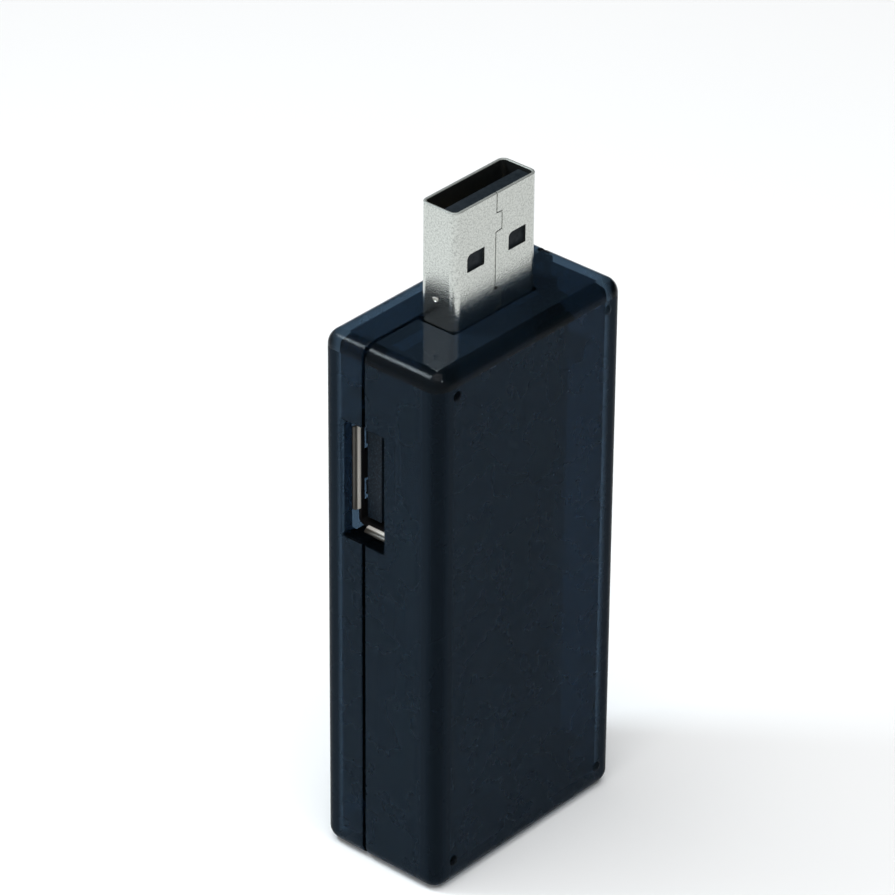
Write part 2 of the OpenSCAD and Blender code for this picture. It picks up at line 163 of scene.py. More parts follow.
def ball(name, radius, at):
    """A small ball, for joining or cutting."""
    bm = bmesh.new()
    bmesh.ops.create_uvsphere(bm, u_segments=24, v_segments=16, radius=radius)
    bmesh.ops.translate(bm, vec=at, verts=bm.verts)
    return new_object(name, bm)


def prism(name, outline, axis, low, high):
    """An outline extruded along an axis ("X", "Y" or "Z") from low to high."""
    place = {"X": on_x, "Y": on_y, "Z": on_z}[axis]
    return loft(name, [place(outline, t) for t in (low, high)])


def arc(count=8):
    """Angles of a quarter turn in count steps, in radians."""
    return [math.radians(90 * i / count) for i in range(count + 1)]


def combine(target, other, operation):
    """Applies a boolean to target and removes the other object."""
    modifier = target.modifiers.new("combine", "BOOLEAN")
    modifier.operation = operation
    modifier.solver = "EXACT"
    modifier.object = other
    bpy.context.view_layer.update()
    graph = bpy.context.evaluated_depsgraph_get()
    mesh = bpy.data.meshes.new_from_object(target.evaluated_get(graph))
    target.modifiers.clear()
    target.data = mesh
    bpy.data.objects.remove(other)


def cut(target, *others):
    for other in others:
        combine(target, other, "DIFFERENCE")


def join(target, *others):
    for other in others:
        combine(target, other, "UNION")


def shade(target, sharp_deg=35):
    """Smooth shading that breaks at edges sharper than sharp_deg, with face-weighted normals."""
    bm = bmesh.new()
    bm.from_mesh(target.data)
    bmesh.ops.remove_doubles(bm, verts=bm.verts, dist=2 * WELD)
    limit = math.radians(sharp_deg)
    for face in bm.faces:
        face.smooth = True
    for edge in bm.edges:
        edge.smooth = len(edge.link_faces) == 2 and edge.calc_face_angle(0) < limit
    bm.to_mesh(target.data)
    bm.free()
    weighted = target.modifiers.new("weighted", "WEIGHTED_NORMAL")
    weighted.keep_sharp = True
    weighted.weight = 80
    return target


def soften_node(name, width, material, segments=2):
    """Small rounded edges and a material on a CAD node, with its mesh left as it is."""
    node = nodes[name]
    weld = node.modifiers.new("weld", "WELD")
    weld.merge_threshold = 1e-6
    flat = node.modifiers.new("flat", "DECIMATE")
    flat.decimate_type = "DISSOLVE"
    flat.angle_limit = math.radians(1)
    edge = node.modifiers.new("edge", "BEVEL")
    edge.width = width
    edge.segments = segments
    edge.limit_method = "ANGLE"
    edge.angle_limit = math.radians(40)
    edge.harden_normals = True
    node.data.polygons.foreach_set("use_smooth", [True] * len(node.data.polygons))
    paint(node, material)
    return node


def paint(target, *materials):
    target.data.materials.clear()
    for material in materials:
        target.data.materials.append(material)
    return target


def piece(target, body, slot, *replaced):
    """Attaches a finished piece to its body and hides the CAD nodes that it stands for; slot, its finish,
    is not used.
    """
    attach(target, body)
    if replaced:
        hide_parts(*replaced)
    return target


# ---------------------------------------------------------------- material helpers
def new_material(name, base, rough, metallic=0.0, **sockets):
    """A Principled material; sockets are extra inputs, named with _ for spaces."""
    made = bpy.data.materials.new(name)
    made.use_nodes = True
    shader = made.node_tree.nodes["Principled BSDF"]
    shader.inputs["Base Color"].default_value = (*base, 1)
    shader.inputs["Roughness"].default_value = rough
    shader.inputs["Metallic"].default_value = metallic
    for key, value in sockets.items():
        shader.inputs[key.replace("_", " ")].default_value = value
    return made


def add_node(material, kind, **settings):
    """A node; a setting is one of its properties or, failing that, one of its inputs."""
    node = material.node_tree.nodes.new(kind)
    for key, value in settings.items():
        if hasattr(node, key):
            setattr(node, key, value)
        else:
            node.inputs[key.replace("_", " ")].default_value = value
    return node


def link(material, a, out, b, into):
    material.node_tree.links.new(a.outputs[out], b.inputs[into])


def drive(material, node, out, socket):
    """Links a node's output to one of the material's shader inputs."""
    link(material, node, out, material.node_tree.nodes["Principled BSDF"], socket)


def position(material):
    """The point's X, Y and Z in the row frame."""
    place = add_node(material, "ShaderNodeTexCoord")
    split = add_node(material, "ShaderNodeSeparateXYZ")
    link(material, place, "Object", split, "Vector")
    return split


def noise(material, scale, detail=4.0, rough=0.5, kind="ShaderNodeTexNoise"):
    """Noise in the row frame, with scale in features per metre."""
    place = add_node(material, "ShaderNodeTexCoord")
    texture = add_node(material, kind)
    texture.inputs["Scale"].default_value = scale
    if kind == "ShaderNodeTexNoise":
        texture.inputs["Detail"].default_value = detail
        texture.inputs["Roughness"].default_value = rough
    link(material, place, "Object", texture, "Vector")
    return texture


def ramp(material, source, out, stops):
    """A colour ramp over a value: stops are (position, colour or grey)."""
    made = add_node(material, "ShaderNodeValToRGB")
    link(material, source, out, made, "Fac")
    elements = made.color_ramp.elements
    while len(elements) < len(stops):
        elements.new(0.5)
    for element, (at, colour) in zip(elements, stops):
        element.position = at
        element.color = (*colour, 1) if hasattr(colour, "__len__") else (colour, colour, colour, 1)
    return made


def vary_colour(material, low, high, scale, detail=4.0, span=(0.35, 0.65)):
    """Mottles the base colour between two colours; span is the part of the noise that blends them."""
    source = noise(material, scale, detail)
    colours = ramp(material, source, "Fac", [(span[0], low), (span[1], high)])
    drive(material, colours, "Color", "Base Color")
    return colours


def vary_roughness(material, low, high, scale, detail=4.0, span=(0.35, 0.65)):
    source = noise(material, scale, detail)
    levels = ramp(material, source, "Fac", [(span[0], low), (span[1], high)])
    drive(material, levels, "Color", "Roughness")


def bumps(material, scale, height, strength, detail):
    """Surface relief from noise; height in metres."""
    source = noise(material, scale, detail)
    relief = add_node(material, "ShaderNodeBump")
    relief.inputs["Strength"].default_value = strength
    relief.inputs["Distance"].default_value = height
    link(material, source, "Fac", relief, "Height")
    drive(material, relief, "Normal", "Normal")


# ---------------------------------------------------------------- materials
def edge_fade(material, split, near, far, low):
    """A factor that is low within near of the upright edges of the case and 1 beyond far."""
    total = add_node(material, "ShaderNodeMath", operation="ADD")
    for axis, into in (("X", 0), ("Y", 1)):
        size = add_node(material, "ShaderNodeMath", operation="ABSOLUTE")
        link(material, split, axis, size, "Value")
        link(material, size, "Value", total, into)
    fade = add_node(material, "ShaderNodeMapRange", interpolation_type="SMOOTHSTEP")
    fade.inputs["From Min"].default_value = HALF_W + HALF_D - far
    fade.inputs["From Max"].default_value = HALF_W + HALF_D - near
    fade.inputs["To Min"].default_value = 1.0
    fade.inputs["To Max"].default_value = low
    link(material, total, "Value", fade, "Value")
    return fade


def paint_edge_shade(material, colours, haze):
    """Painted shade: darkens the colour and lets less light through near the upright edges, standing in
    for the darkness of a real wall seen end on.
    """
    split = position(material)
    clear_share = edge_fade(material, split, 1.9 * MM, 3.4 * MM, 0.15)
    haze_share = edge_fade(material, split, 0.9 * MM, 1.7 * MM, 0.5)
    tinted = add_node(material, "ShaderNodeVectorMath", operation="SCALE")
    link(material, colours, "Color", tinted, "Vector")
    link(material, clear_share, "Result", tinted, "Scale")
    drive(material, tinted, "Vector", "Base Color")
    ratio = add_node(material, "ShaderNodeMath", operation="DIVIDE")
    link(material, haze_share, "Result", ratio, 0)
    link(material, clear_share, "Result", ratio, 1)
    passed = add_node(material, "ShaderNodeMath", operation="MULTIPLY_ADD")
    passed.inputs[1].default_value = -haze
    passed.inputs[2].default_value = 1.0
    link(material, ratio, "Value", passed, 0)
    drive(material, passed, "Value", "Transmission Weight")


def smoky(name, tint, index, rough_low, rough_high, relief, haze, painted_edge_shade=False):
    """Translucent blue-black plastic: each wall lets through what its tint says.

    haze is the share of light that it scatters back, and relief its grain's height in metres."""
    made = new_material(name, tint, rough_low, Transmission_Weight=1 - haze, IOR=index)
    thinner = [c * 0.95 for c in tint]
    thicker = [c * 1.05 for c in tint]
    colours = vary_colour(made, thinner, thicker, scale=60, detail=2)
    # Painted shade near the case's upright edges, if asked.
    if painted_edge_shade:
        paint_edge_shade(made, colours, haze)
    vary_roughness(made, rough_low, rough_high, scale=260, detail=3)
    bumps(made, 4000, relief, strength=0.5, detail=1)
    return made


SMOKE = (0.047, 0.079, 0.119)
# The next two tints are darker copies of the smoke, as painted shade: the first on the rounded top edges,
# the second in the joint's groove, the opening's ledges and on the nubs.
EDGE_SHADE_SMOKE = (0.03, 0.05, 0.07)
GAP_SHADE_SMOKE = (0.012, 0.02, 0.028)
SATIN_INDEX = 1.07        # low, so that satin faces stay dark beside the white floor
smoke_top = smoky("smoky_gloss", SMOKE, 1.3, 0.03, 0.06, 0.1e-6, 0.12)
smoke_round_shade = smoky("smoky_edge_shade", EDGE_SHADE_SMOKE, 1.15, 0.14, 0.18, 0.1e-6, 0.06)
smoke_gap_shade = smoky("smoky_gap_shade", GAP_SHADE_SMOKE, SATIN_INDEX, 0.1, 0.14, 0.1e-6, 0.06)
smoke_satin = smoky("smoky_satin", SMOKE, SATIN_INDEX, 0.24, 0.3, 0.1e-6, 0.18, True)
smoke_inner = smoky("smoky_inner", SMOKE, SATIN_INDEX, 0.1, 0.16, 0.1e-6, 0.05)


def fine_relief(material):
    """The slight unevenness of plating."""
    bumps(material, 12000, 1.2e-6, strength=0.7, detail=3)


def plated(name, base, rough_low, rough_high):
    """Plated or bare metal with fine mottling in its colour, gloss and relief."""
    made = new_material(name, base, rough_low, metallic=1.0)
    vary_colour(made, [c * 0.93 for c in base], base, scale=2500, detail=6)
    vary_roughness(made, rough_low, rough_high, scale=6000, detail=4)
    fine_relief(made)
    return made


def speckled(name, base, rough_low, rough_high):
    """Grainy plating: dull specks in its colour, and relief that roughens what it mirrors."""
    made = new_material(name, base, rough_low, metallic=1.0)
    vary_colour(made, [c * 0.62 for c in base], base, scale=5500, detail=3, span=(0.3, 0.58))
    vary_roughness(made, rough_low, rough_high, scale=6000, detail=4)
    bumps(made, 7500, 13e-6, strength=1.0, detail=1)
    return made


def socket_plating_and_shade():
    """The socket's metal: painted shade, near black, inside; pale on its flared lips; a painted dark
    reflection on their outer band.

    Its ramps run over the last millimetre before the socket's mouth."""
    # inside is painted shade and dark is a painted dark reflection: the real metal is pale there too.
    pale, dark, inside = (1.0, 0.96, 0.88), (0.06, 0.054, 0.045), (0.012, 0.012, 0.013)
    wall_end, lip_start, lip_end, band_start = 0.2, 0.3, 0.54, 0.7
    dull, smooth = 0.5, 0.3
    made = new_material("nickel_socket_painted_shade", pale, dull, metallic=0.3)
    fine_relief(made)
    along = add_node(made, "ShaderNodeMapRange")
    along.inputs["From Min"].default_value = MOUTH_X - MM
    along.inputs["From Max"].default_value = MOUTH_X
    link(made, position(made), "X", along, "Value")
    stops = [(wall_end, inside), (lip_start, pale), (lip_end, pale), (band_start, dark)]
    drive(made, ramp(made, along, "Result", stops), "Color", "Base Color")
    gloss = ramp(made, along, "Result", [(lip_end, dull), (band_start, smooth)])
    drive(made, gloss, "Color", "Roughness")
    return made


nickel_plug = speckled("nickel_plug", (0.575, 0.59, 0.555), 0.13, 0.2)
# A darker, duller copy of the nickel for the plug's tip rim: its darker colour is painted shade.
nickel_rim_shade = plated("nickel_rim_shade", (0.36, 0.37, 0.35), 0.6, 0.75)
nickel_socket_painted_shade = socket_plating_and_shade()
# A dark copy of the nickel: painted shade on the inside of the plug's sleeve.
nickel_inside_shade = plated("nickel_inside_shade", (0.07, 0.075, 0.075), 0.4, 0.5)
gold = plated("gold_contact", (0.9, 0.66, 0.28), 0.16, 0.28)
tin = plated("tinned_metal", (0.74, 0.75, 0.76), 0.24, 0.38)
dome_metal = plated("dome_steel", (0.75, 0.73, 0.68), 0.2, 0.3)


DUST_TINT = (0.45, 0.9, 1.25)


def moulded(name, base, rough_low, rough_high, relief=3e-6, dust=0.0):
    """Opaque moulded plastic or resin, with fine relief and a little dust if asked."""
    made = new_material(name, base, rough_low, Specular_IOR_Level=0.2)
    vary_roughness(made, rough_low, rough_high, scale=2500, detail=5)
    bumps(made, 7000, relief, strength=0.7, detail=3)
    pale = [min(1.0, c * 1.25 + 0.004) for c in base]
    if dust:
        dusty = [c + dust * share for c, share in zip(base, DUST_TINT)]
        specks = noise(made, 5200, detail=8, rough=0.75)
        colours = ramp(made, specks, "Fac", [(0.0, base), (0.5, pale), (0.66, dusty)])
        drive(made, colours, "Color", "Base Color")
    else:
        vary_colour(made, base, pale, scale=1800, detail=5)
    return made


black_plastic = moulded("black_plastic", (0.003, 0.006, 0.009), 0.5, 0.65)
dusty_plastic = moulded("dusty_plastic", (0.002, 0.006, 0.012), 0.5, 0.65, dust=0.06)
button_plastic = moulded("button_plastic", (0.028, 0.031, 0.036), 0.38, 0.5)
chip_resin = moulded("chip_resin", (0.02, 0.02, 0.022), 0.5, 0.68, 5e-6)
tantalum = moulded("tantalum_resin", (0.62, 0.36, 0.05), 0.45, 0.6)
ceramic = moulded("ceramic_tan", (0.42, 0.31, 0.19), 0.5, 0.7)
zebra = moulded("zebra_rubber", (0.42, 0.2, 0.25), 0.6, 0.75)
led_body = moulded("led_white", (0.8, 0.76, 0.5), 0.3, 0.45)


def clear(name, base, rough, **sockets):
    """Clear glass or acrylic with faint smears in its gloss."""
    made = new_material(name, base, rough, Transmission_Weight=1.0, **sockets)
    vary_roughness(made, rough, rough + 0.05, scale=300, detail=6, span=(0.45, 0.75))
    return made


lens_acrylic = clear("window_acrylic", (0.6, 0.64, 0.68), 0.01, IOR=1.49)
cell_glass = clear("display_glass", (0.93, 0.97, 0.95), 0.0, IOR=1.5)
guide_acrylic = moulded("guide_acrylic", (0.78, 0.8, 0.82), 0.3, 0.4)
film = moulded("polariser_film", (0.34, 0.39, 0.35), 0.22, 0.3, 0.5e-6)


def board_mask():
    """Solder mask with tracks that show as paler lines."""
    mask, over_copper = (0.008, 0.05, 0.028), (0.018, 0.12, 0.06)
    made = new_material("board_laminate", (0.01, 0.06, 0.035), 0.3, Coat_Weight=0.3)
    tracks = noise(made, 260, kind="ShaderNodeTexVoronoi")
    tracks.feature = "DISTANCE_TO_EDGE"
    colours = ramp(made, tracks, "Distance", [(0.0, over_copper), (0.06, over_copper), (0.09, mask)])
    drive(made, colours, "Color", "Base Color")
    relief = add_node(made, "ShaderNodeBump")
    relief.inputs["Distance"].default_value = 15e-6
    link(made, tracks, "Distance", relief, "Height")
    drive(made, relief, "Normal", "Normal")
    return made


board_green = board_mask()


# ---------------------------------------------------------------- covers
def case_loop(inset, y):
    loop = rounded_loop(HALF_W - inset, CASE_H / 2 - inset, EDGE_R - inset, 16)
    return on_y(loop, y, cz=CASE_H / 2)


def cover(name, face_y, rim):
    """One half of the case as a closed skin: face, outer edge, joint, inner wall, inner face.

    rim is the joint's section as (distance from the joint plane, inset)."""
    inward = -1 if face_y > 0 else 1
    depth = abs(face_y - JOINT_Y)
    lip = 0.14 * MM
    inner_r = EDGE_R - WALL
    rows = [(EDGE_R * (1 - math.cos(a)), EDGE_R * (1 - math.sin(a))) for a in arc(16)]
    path = [(t, inset) for t, inset in rows]
    path += [(depth - GROOVE_HALF - lip * (1 - math.sin(a)), lip * (1 - math.cos(a))) for a in arc(4)]
    path += [(depth - GROOVE_HALF, GROOVE_DEEP), (depth - 0.01 * MM, GROOVE_DEEP)]
    path += [(depth + t, inset) for t, inset in rim]
    path += [(WALL + inner_r * (1 - math.sin(a)), WALL + inner_r * (1 - math.cos(a))) for a in arc(3)]
    return loft(name, [case_loop(inset, face_y + inward * t) for t, inset in path])


def socket_opening():
    """Cutter for the opening round the socket, with its outer edges slightly rounded."""
    edge = 0.1 * MM
    steps = [(MOUTH_X, 0.0), (HALF_W - edge, 0.0)]
    steps += [(HALF_W - edge * (1 - math.sin(a)), edge * (1 - math.cos(a))) for a in arc(3)[1:]]
    steps.append((HALF_W + MM, edge))
    loops = []
    for x, grow in steps:
        loop = rounded_loop(OPENING_HALF_T + grow, OPENING_HALF_W + grow, 0.12 * MM, 3)
        loops.append(on_x(loop, x, SOCKET_Y, SOCKET_Z))
    return loft("opening_cutter", loops)


def opening_notch(up):
    """Cutter that rounds the corners of the two covers where the joint meets the opening."""
    wide, deep = 0.5 * MM, 0.42 * MM
    base = SOCKET_Z + up * (OPENING_HALF_W - 0.02 * MM)
    right = [(wide * (1 - math.sin(a)), deep * (1 - math.cos(a))) for a in arc(6)]
    outline = [(JOINT_Y + y, base + up * z) for y, z in right]
    outline += [(JOINT_Y - y, base + up * z) for y, z in reversed(right[:-1])]
    outline += [(JOINT_Y - wide, base - up * MM), (JOINT_Y + wide, base - up * MM)]
    return prism("notch_cutter", outline, "X", MOUTH_X, HALF_W + MM)


def socket_rim(low_y, high_y):
    """Raised rim round the opening on the inside of the wall, between two depths."""
    wide = 0.7 * MM
    inner = HALF_W - WALL
    reach_y = OPENING_HALF_T + wide
    reach_z = OPENING_HALF_W + wide
    low = (inner - 0.3 * MM, max(low_y, SOCKET_Y - reach_y), SOCKET_Z - reach_z)
    high = (inner + 0.2 * MM, min(high_y, SOCKET_Y + reach_y), SOCKET_Z + reach_z)
    return block("rim", low, high)


def plug_slot(extra, low_y):
    """Cutter for the gap that the plug passes through, with extra room on each side."""
    return block("slot_cutter", (-PLUG_HALF_W - extra, low_y, CASE_H - 5 * MM),
                 (PLUG_HALF_W + extra, PLUG_Y + PLUG_HALF_T + 0.1 * MM, CASE_H + MM))


def finish_cover(target):
    """Materials by place: polished top, rounded top edges in a darker tint as painted shade, nubs and gaps
    in the darkest tint as painted shade, satin sides, inside.
    """
    finishes = [smoke_top, smoke_round_shade, smoke_gap_shade, smoke_satin, smoke_inner]
    top, rounded, deep, satin, inner = range(len(finishes))
    shade(target)
    paint(target, *finishes)
    near = 0.02 * MM
    rounding, ledge_wide = 0.15 * MM, 0.5 * MM
    step_reach, skin = 1.1 * MM, 0.3 * MM
    for face in target.data.polygons:
        c = face.center
        inside = abs(c.x) < HALF_W - WALL + near and abs(c.y) < HALF_D - WALL + near
        inside = inside and WALL - near < c.z < CASE_H - WALL + near
        opening = c.x > MOUTH_X + near and abs(c.y - SOCKET_Y) < OPENING_HALF_T + rounding
        ledge = opening and OPENING_HALF_W - near < abs(c.z - SOCKET_Z) < OPENING_HALF_W + ledge_wide
        under = min(HALF_W - abs(c.x), CASE_H / 2 - abs(c.z - CASE_H / 2))
        from_joint = abs(c.y - JOINT_Y)
        groove = from_joint < GROOVE_HALF + near and not inside
        groove = groove or (from_joint < step_reach and skin < under < WALL - near)
        if inside:
            face.material_index = inner
        # Painted shade: the darkest tint in the groove and the ledges and on the nubs.
        elif groove or ledge or c.y > HALF_D + near:
            face.material_index = deep
        elif c.z > CASE_H - near:
            face.material_index = top
        # Painted shade: a darker tint on the rounded top edges.
        elif c.z > CASE_H - EDGE_R:
            face.material_index = rounded
        else:
            face.material_index = satin


def front_post(x, half_wide, low_z, high_z):
    """A post that stands on the inside of the display side and carries the board."""
    low = (x - half_wide, FRONT_INSIDE - 0.2 * MM, low_z)
    return block("post", low, (x + half_wide, board_low.y, high_z))


def rear_post(radius, x, z):
    ring = rounded_loop(radius, radius, radius, 8)
    return loft("post", [on_y(ring, y, x, z) for y in (board_high.y, REAR_INSIDE + 0.2 * MM)])


def window_hole(name, grow, end_y):
    """Cutter for the window, or for the wider step in which its pane lies."""
    loop = rounded_loop(8.7 * MM + grow, 12.3 * MM + grow, 0.8 * MM + grow)
    return loft(name, [on_y(loop, y, cz=DISPLAY_Z) for y in (-HALF_D - MM, end_y)])


def button_hole():
    """Cutter for the button's hole, with its outer edge rounded."""
    hole_r, edge = BUTTON_R + 0.2 * MM, 0.15 * MM
    rings = [(-HALF_D - MM, edge)]
    rings += [(-HALF_D + edge * (1 - math.cos(a)), edge * (1 - math.sin(a))) for a in arc(4)]
    rings.append((FRONT_INSIDE + MM, 0.0))
    loops = []
    for y, grow in rings:
        radius = hole_r + grow
        loops.append(on_y(rounded_loop(radius, radius, radius, 12), y, BUTTON_X, BUTTON_Z))
    return loft("hole_cutter", loops)


def make_front_cover():
    lip_low, lip_high, lip_edge = 0.75 * MM, 1.3 * MM, 0.15 * MM
    rim = [(-0.01 * MM, lip_low), (0.8 * MM, lip_low), (0.8 * MM + lip_edge, lip_low + lip_edge),
           (0.8 * MM + lip_edge, lip_high), (-0.3 * MM, lip_high), (-0.3 * MM, WALL)]
    made = cover("front_shell", -HALF_D, rim)
    for side in (-1, 1):
        join(made, front_post(side * 10.4 * MM, 1.3 * MM, CASE_H - 7.5 * MM, CASE_H - 3.5 * MM))
        join(made, front_post(side * 10.2 * MM, 1.5 * MM, 2.2 * MM, 5.2 * MM))
    join(made, socket_rim(-HALF_D, JOINT_Y - 0.05 * MM))
    cut(made, socket_opening(), opening_notch(1), opening_notch(-1), plug_slot(0.5 * MM, JOINT_Y))
    cut(made, window_hole("window_cutter", 0, FRONT_INSIDE + MM))
    cut(made, window_hole("step_cutter", 0.85 * MM, -HALF_D + 0.95 * MM))
    cut(made, button_hole())
    finish_cover(made)
    return piece(made, "case", "smoky_plastic", "front_cover")


NUB_R = 0.654 * MM        # the balls whose tips stand out of the back
NUB_X = 11.06 * MM


def make_rear_cover():
    made = cover("rear_shell", HALF_D, [(-0.01 * MM, 0.7 * MM), (-1.0 * MM, 0.7 * MM), (-1.0 * MM, WALL)])
    for side in (-1, 1):
        join(made, rear_post(1.5 * MM, side * 9.9 * MM, 4.4 * MM))
        join(made, rear_post(1.3 * MM, side * 9.9 * MM, board_high.z - 1.6 * MM))
        for z in (3 * MM, CASE_H - 2.67 * MM):
            join(made, ball("nub", NUB_R, (side * NUB_X, case_high.y - NUB_R, z)))
    join(made, socket_rim(JOINT_Y + 1.05 * MM, HALF_D))
    cut(made, socket_opening(), opening_notch(1), opening_notch(-1), plug_slot(0.15 * MM, JOINT_Y - MM))
    finish_cover(made)
    return piece(made, "case", "smoky_plastic", "rear_cover")


make_front_cover()
make_rear_cover()


# ---------------------------------------------------------------- plug
SEAM_WIDE = 0.07 * MM
# The seam's corners in mm: across the plug, and above the case.
SEAM = [(0, 13.1), (0, 10.85), (-0.76, 10.8), (-0.76, 8.87), (0.1, 8.76), (0.15, 2.7),
        (-0.66, 2.4), (-0.66, 0.5), (0.15, 0.3), (0.15, -5.8)]


def seam_cutter(half_wide, depth):
    """A sheet of even thickness that follows the seam, reaching depth below the plug's face."""
    line = [Vector((x * MM, CASE_H + z * MM)) for x, z in SEAM]
    left, right = [], []
    for i, point in enumerate(line):
        before = (point - line[i - 1]).normalized() if i else None
        after = (line[i + 1] - point).normalized() if i + 1 < len(line) else None
        run_a, run_b = before or after, after or before
        normal_a, normal_b = Vector((-run_a.y, run_a.x)), Vector((-run_b.y, run_b.x))
        mitre = (normal_a + normal_b) / (1 + normal_a.dot(normal_b))
        left.append(point + mitre * half_wide)
        right.append(point - mitre * half_wide)
    face = PLUG_Y + PLUG_HALF_T
    return prism("seam_cutter", left + right[::-1], "Y", face - depth, face + SHEET)


def plug_window(x):
    """Cutter for a window: one of its upper corners is rounder than the others."""
    half_w, half_h, tight, wide = 1.25 * MM, 0.95 * MM, 0.1 * MM, 0.55 * MM
    z = CASE_H + 6.95 * MM
    steps = 6
    outline = []
    for quarter, (sa, sb, r) in enumerate([(1, 1, wide), (-1, 1, tight), (-1, -1, tight), (1, -1, tight)]):
        for i in range(steps + 1):
            angle = (quarter + i / steps) * math.pi / 2
            outline.append((x + sa * (half_w - r) + r * math.cos(angle),
                            z + sb * (half_h - r) + r * math.sin(angle)))
    return prism("plug_window", outline, "Y", PLUG_Y - 2 * PLUG_HALF_T, PLUG_Y + 2 * PLUG_HALF_T)


def plug_dimple(side):
    at = (side * (PLUG_HALF_W + 0.3 * MM), PLUG_Y - 0.2 * MM, CASE_H + 3.1 * MM)
    return ball("dimple", 0.5 * MM, at)


def plug_leg(side):
    """A leg that runs from the plug's foot down to the board."""
    x = side * (PLUG_HALF_W - SHEET / 2)
    return block("leg", (x - SHEET / 2, PLUG_Y - 0.4 * MM, plug_low.z),
                 (x + SHEET / 2, PLUG_Y + 1.9 * MM, PLUG_FOOT + 0.05 * MM))


def seam_hole():
    """Cutter for the round hole in which the seam's straight part ends."""
    radius = 0.21 * MM
    ring = rounded_loop(radius, radius, radius, 5)
    ends = (PLUG_Y + MM, PLUG_Y + 3 * MM)
    return loft("seam_hole", [on_y(ring, y, 0.05 * MM, CASE_H + 2.64 * MM) for y in ends])


def rim_notch():
    """Cutter for a small nick in the plug's tip."""
    x, half_wide = 1.84 * MM, 0.13 * MM
    return block("rim_notch", (x - half_wide, PLUG_Y, PLUG_TIP - 0.07 * MM),
                 (x + half_wide, PLUG_Y + 3 * MM, PLUG_TIP + MM))


def make_plug_shell():
    rim = 0.1 * MM
    path = [(PLUG_FOOT, 0.0), (PLUG_TIP - rim, 0.0)]
    path += [(PLUG_TIP - rim * (1 - math.sin(a)), rim * (1 - math.cos(a))) for a in arc(4)[1:]]
    path += [(PLUG_TIP - rim * (1 - math.cos(a)), SHEET - rim * (1 - math.sin(a))) for a in arc(4)]
    path.append((PLUG_FOOT, SHEET))
    loops = []
    for z, inset in path:
        loop = rounded_loop(PLUG_HALF_W - inset, PLUG_HALF_T - inset, PLUG_R - inset, 10)
        loops.append(on_z(loop, z, 0, PLUG_Y))
    made = loft("plug_sleeve", loops, closed=True)
    for side in (-1, 1):
        cut(made, plug_window(side * 3 * MM), plug_dimple(side))
        join(made, plug_leg(side))
    cut(made, seam_cutter(SEAM_WIDE, 0.025 * MM), seam_cutter(SEAM_WIDE / 2, 2 * SHEET))
    cut(made, seam_hole(), rim_notch())
    paint(shade(made, 30), nickel_plug, nickel_inside_shade, nickel_rim_shade)
    outer_slot, inner_slot, rim_slot = range(3)
    near = 0.01 * MM
    for face in made.data.polygons:
        c = face.center
        inside = abs(c.x) < PLUG_HALF_W - SHEET + near and abs(c.y - PLUG_Y) < PLUG_HALF_T - SHEET + near
        # The rim's darker colour is painted shade.
        if c.z > PLUG_TIP - rim:
            face.material_index = rim_slot
        else:
            # The inner faces get the painted shade.
            face.material_index = inner_slot if inside else outer_slot
    return piece(made, "case", "nickel_steel", "plug_shell")


make_plug_shell()


# ---------------------------------------------------------------- socket
LIP_DEEP = 0.8 * MM
LIP_FLARE = 0.32 * MM
SLOT_END = MOUTH_X - 1.3 * MM
SLOT_LONG = 6.5 * MM


def socket_lip(length, wall_at, side, along_z):
    """A lip of the socket's mouth, curving outwards like the edge of a bell.

    wall_at is the wall's distance from the socket's middle, and side its direction."""
    steps = 8
    inner, outer = [], []
    for i in range(steps + 1):
        t = i / steps
        x = MOUTH_X - LIP_DEEP * (1 - t)
        rise = LIP_FLARE * t ** 1.8
        inner.append((x, wall_at + rise))
        outer.append((x, wall_at + rise + SHEET * (1 - 0.2 * t)))
    root = MOUTH_X - LIP_DEEP - 0.3 * MM
    edge = 0.05 * MM
    top, low = outer.pop(), inner.pop()
    section = [(root, wall_at)] + inner + [(low[0] - edge, low[1]), (low[0], low[1] + edge)]
    section += [(top[0], top[1] - edge), (top[0] - edge, top[1])] + outer[::-1] + [(root, wall_at + SHEET)]
    loops = []
    trim = 0.08 * MM
    half = length / 2
    for t, pull in ((-half, trim), (-half + trim, 0), (half - trim, 0), (half, trim)):
        loop = []
        for x, off in section:
            x = x - pull if x > MOUTH_X - 2 * edge else x
            if along_z:
                loop.append(Vector((x, SOCKET_Y + side * off, SOCKET_Z + t)))
            else:
                loop.append(Vector((x, SOCKET_Y + t, SOCKET_Z + side * off)))
        loops.append(loop)
    return loft("lip", loops)


def retaining_spring(z, side):
    """A strip cut free in a socket wall, bowed inwards to grip a plug."""
    half, length, steps = 0.8 * MM, 6 * MM, 12
    rear = SLOT_END - SLOT_LONG
    loops = []
    for i in range(steps + 1):
        t = i / steps
        x = rear - 0.05 * MM + length * t
        bow = 0.32 * MM * math.sin(math.pi * min(t * 1.15, 1.0)) ** 2
        y = SOCKET_Y + side * (SOCKET_HALF_T + SHEET / 2 - bow)
        loops.append([Vector((x, y + a, z + b)) for a, b in rounded_loop(SHEET / 2, half, 0.06 * MM, 2)])
    return loft("spring", loops)


def spring_slot(z, side):
    """Cutter for the slot that surrounds a retaining spring."""
    y = SOCKET_Y + side * (SOCKET_HALF_T + SHEET / 2)
    return block("slot", (SLOT_END - SLOT_LONG, y - 0.4 * MM, z - 1.3 * MM),
                 (SLOT_END, y + 0.4 * MM, z + 1.3 * MM))


def socket_leg(x, side):
    """A leg of the socket's shell that goes into the board."""
    z = SOCKET_Z + side * (SOCKET_HALF_W + SHEET / 2)
    half_wide, half_thick = 0.75 * MM, SHEET / 2 - 0.004 * MM
    return block("leg", (x - half_wide, SOCKET_Y + 2.2 * MM, z - half_thick),
                 (x + half_wide, socket_high.y, z + half_thick))


